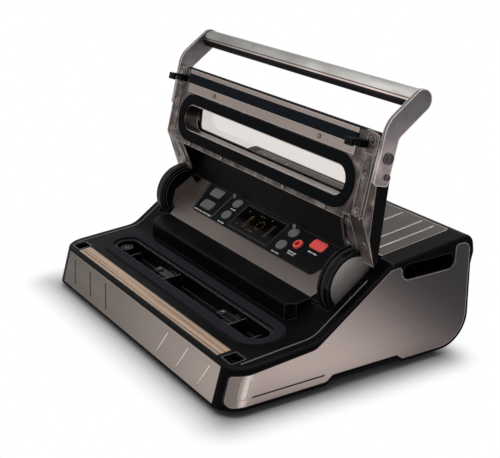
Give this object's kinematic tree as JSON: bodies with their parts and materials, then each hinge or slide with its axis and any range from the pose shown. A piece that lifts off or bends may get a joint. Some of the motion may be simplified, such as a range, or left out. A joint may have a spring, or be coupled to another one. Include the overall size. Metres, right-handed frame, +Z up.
{
  "type": "vacuum sealer",
  "caption": "Countertop vacuum sealer with a steel-skinned housing, sloping key panel and a windowed lid on hinge drums with a tube handle, shown open.",
  "frame": {"origin": "middle of the box on the table it stands on", "axes": "+X to the user's right along the housing, +Y to the back, +Z up"},
  "size_m": [0.3832, 0.2848, 0.2732],
  "materials": {
    "black_plastic": "satin moulded plastic",
    "steel_skin": "brushed stainless steel",
    "rubber": "matt rubber",
    "gasket_foam": "closed-cell foam",
    "seal_tape": "tan coated glass cloth",
    "heater": "bright heating ribbon",
    "bar": "drawn bar",
    "overlay": "printed film",
    "display": "smoked pane",
    "board": "circuit board",
    "key_grey": "satin key",
    "key_red": "satin key",
    "cast_frame": "die-cast, lightly blotched",
    "window": "clear polycarbonate",
    "screw_steel": "plated steel",
    "arm_metal": "brushed flat bar",
    "dark_steel": "blackened steel",
    "tube_steel": "polished tube",
    "zinc": "plated",
    "spring_steel": "spring wire",
    "pump_body": "moulded",
    "iron_core": "laminated core",
    "hose": "silicone hose"
  },
  "bodies": {
    "base": {"base_tray": "black_plastic", "rubber_feet": "rubber", "case_screws": "screw_steel", "deck_housing": "black_plastic", "rear_cover": "black_plastic", "bag_ledge": "black_plastic", "front_panel": "steel_skin", "side_panel_right": "steel_skin", "side_panel_left": "steel_skin", "rear_top_panel": "steel_skin", "heater_bar": "bar", "heating_wire": "heater", "seal_tape": "seal_tape", "lower_gasket": "gasket_foam", "vacuum_trough": "black_plastic", "bag_stops": "black_plastic", "control_plate": "steel_skin", "key_overlay": "overlay", "display_window": "display", "control_board": "board", "accessory_port": "key_red", "hinge_pins": "screw_steel", "latch_guides": "black_plastic", "latch_spring": "spring_steel", "vacuum_pump": "pump_body", "pump_motor": "zinc", "pump_cradle": "black_plastic", "transformer": "iron_core", "release_valve": "pump_body", "vacuum_hose": "hose", "power_inlet": "black_plastic"},
    "lid": {"hinge_drum_right": "black_plastic", "hinge_drum_left": "black_plastic", "drum_caps": "steel_skin", "lid_shell": "black_plastic", "lid_frame": "cast_frame", "lid_window": "window", "upper_gasket": "gasket_foam", "seal_pad": "rubber", "front_strip": "steel_skin", "rear_strip": "steel_skin", "lid_screws": "screw_steel", "lid_hooks": "black_plastic", "handle_arm_right": "arm_metal", "handle_arm_left": "arm_metal", "handle_bolts": "dark_steel", "handle_tube": "tube_steel"},
    "latch": {"latch_bar": "zinc"},
    "key_mode_lower": {"key_mode_lower": "key_grey"},
    "key_mode_upper": {"key_mode_upper": "key_grey"},
    "key_left_lower": {"key_left_lower": "key_grey"},
    "key_left_upper": {"key_left_upper": "key_grey"},
    "key_right_lower": {"key_right_lower": "key_grey"},
    "key_right_upper": {"key_right_upper": "key_grey"},
    "key_start": {"key_start": "key_red"}
  },
  "joints": [
    {"name": "lid_hinge", "type": "hinge", "parent": "base", "child": "lid", "pos_m": [0, 0.0151, 0.0888], "axis": [1, 0, 0], "range_deg": [0, 108.73]},
    {"name": "latch_slide", "type": "slide", "parent": "base", "child": "latch", "axis": [1, 0, 0], "range_m": [0, 0.006], "stiffness_N_per_m": 200, "deforming": ["latch_spring"]},
    {"name": "mode_lower_press", "type": "slide", "parent": "base", "child": "key_mode_lower", "axis": [0, 0.5255, -0.8508], "range_m": [0, 0.0008], "stiffness_N_per_m": 400},
    {"name": "mode_upper_press", "type": "slide", "parent": "base", "child": "key_mode_upper", "axis": [0, 0.5255, -0.8508], "range_m": [0, 0.0008], "stiffness_N_per_m": 400},
    {"name": "left_lower_press", "type": "slide", "parent": "base", "child": "key_left_lower", "axis": [0, 0.5255, -0.8508], "range_m": [0, 0.0008], "stiffness_N_per_m": 400},
    {"name": "left_upper_press", "type": "slide", "parent": "base", "child": "key_left_upper", "axis": [0, 0.5255, -0.8508], "range_m": [0, 0.0008], "stiffness_N_per_m": 400},
    {"name": "right_lower_press", "type": "slide", "parent": "base", "child": "key_right_lower", "axis": [0, 0.5255, -0.8508], "range_m": [0, 0.0008], "stiffness_N_per_m": 400},
    {"name": "right_upper_press", "type": "slide", "parent": "base", "child": "key_right_upper", "axis": [0, 0.5255, -0.8508], "range_m": [0, 0.0008], "stiffness_N_per_m": 400},
    {"name": "start_press", "type": "slide", "parent": "base", "child": "key_start", "axis": [0, 0.5255, -0.8508], "range_m": [0, 0.0008], "stiffness_N_per_m": 400}
  ]
}
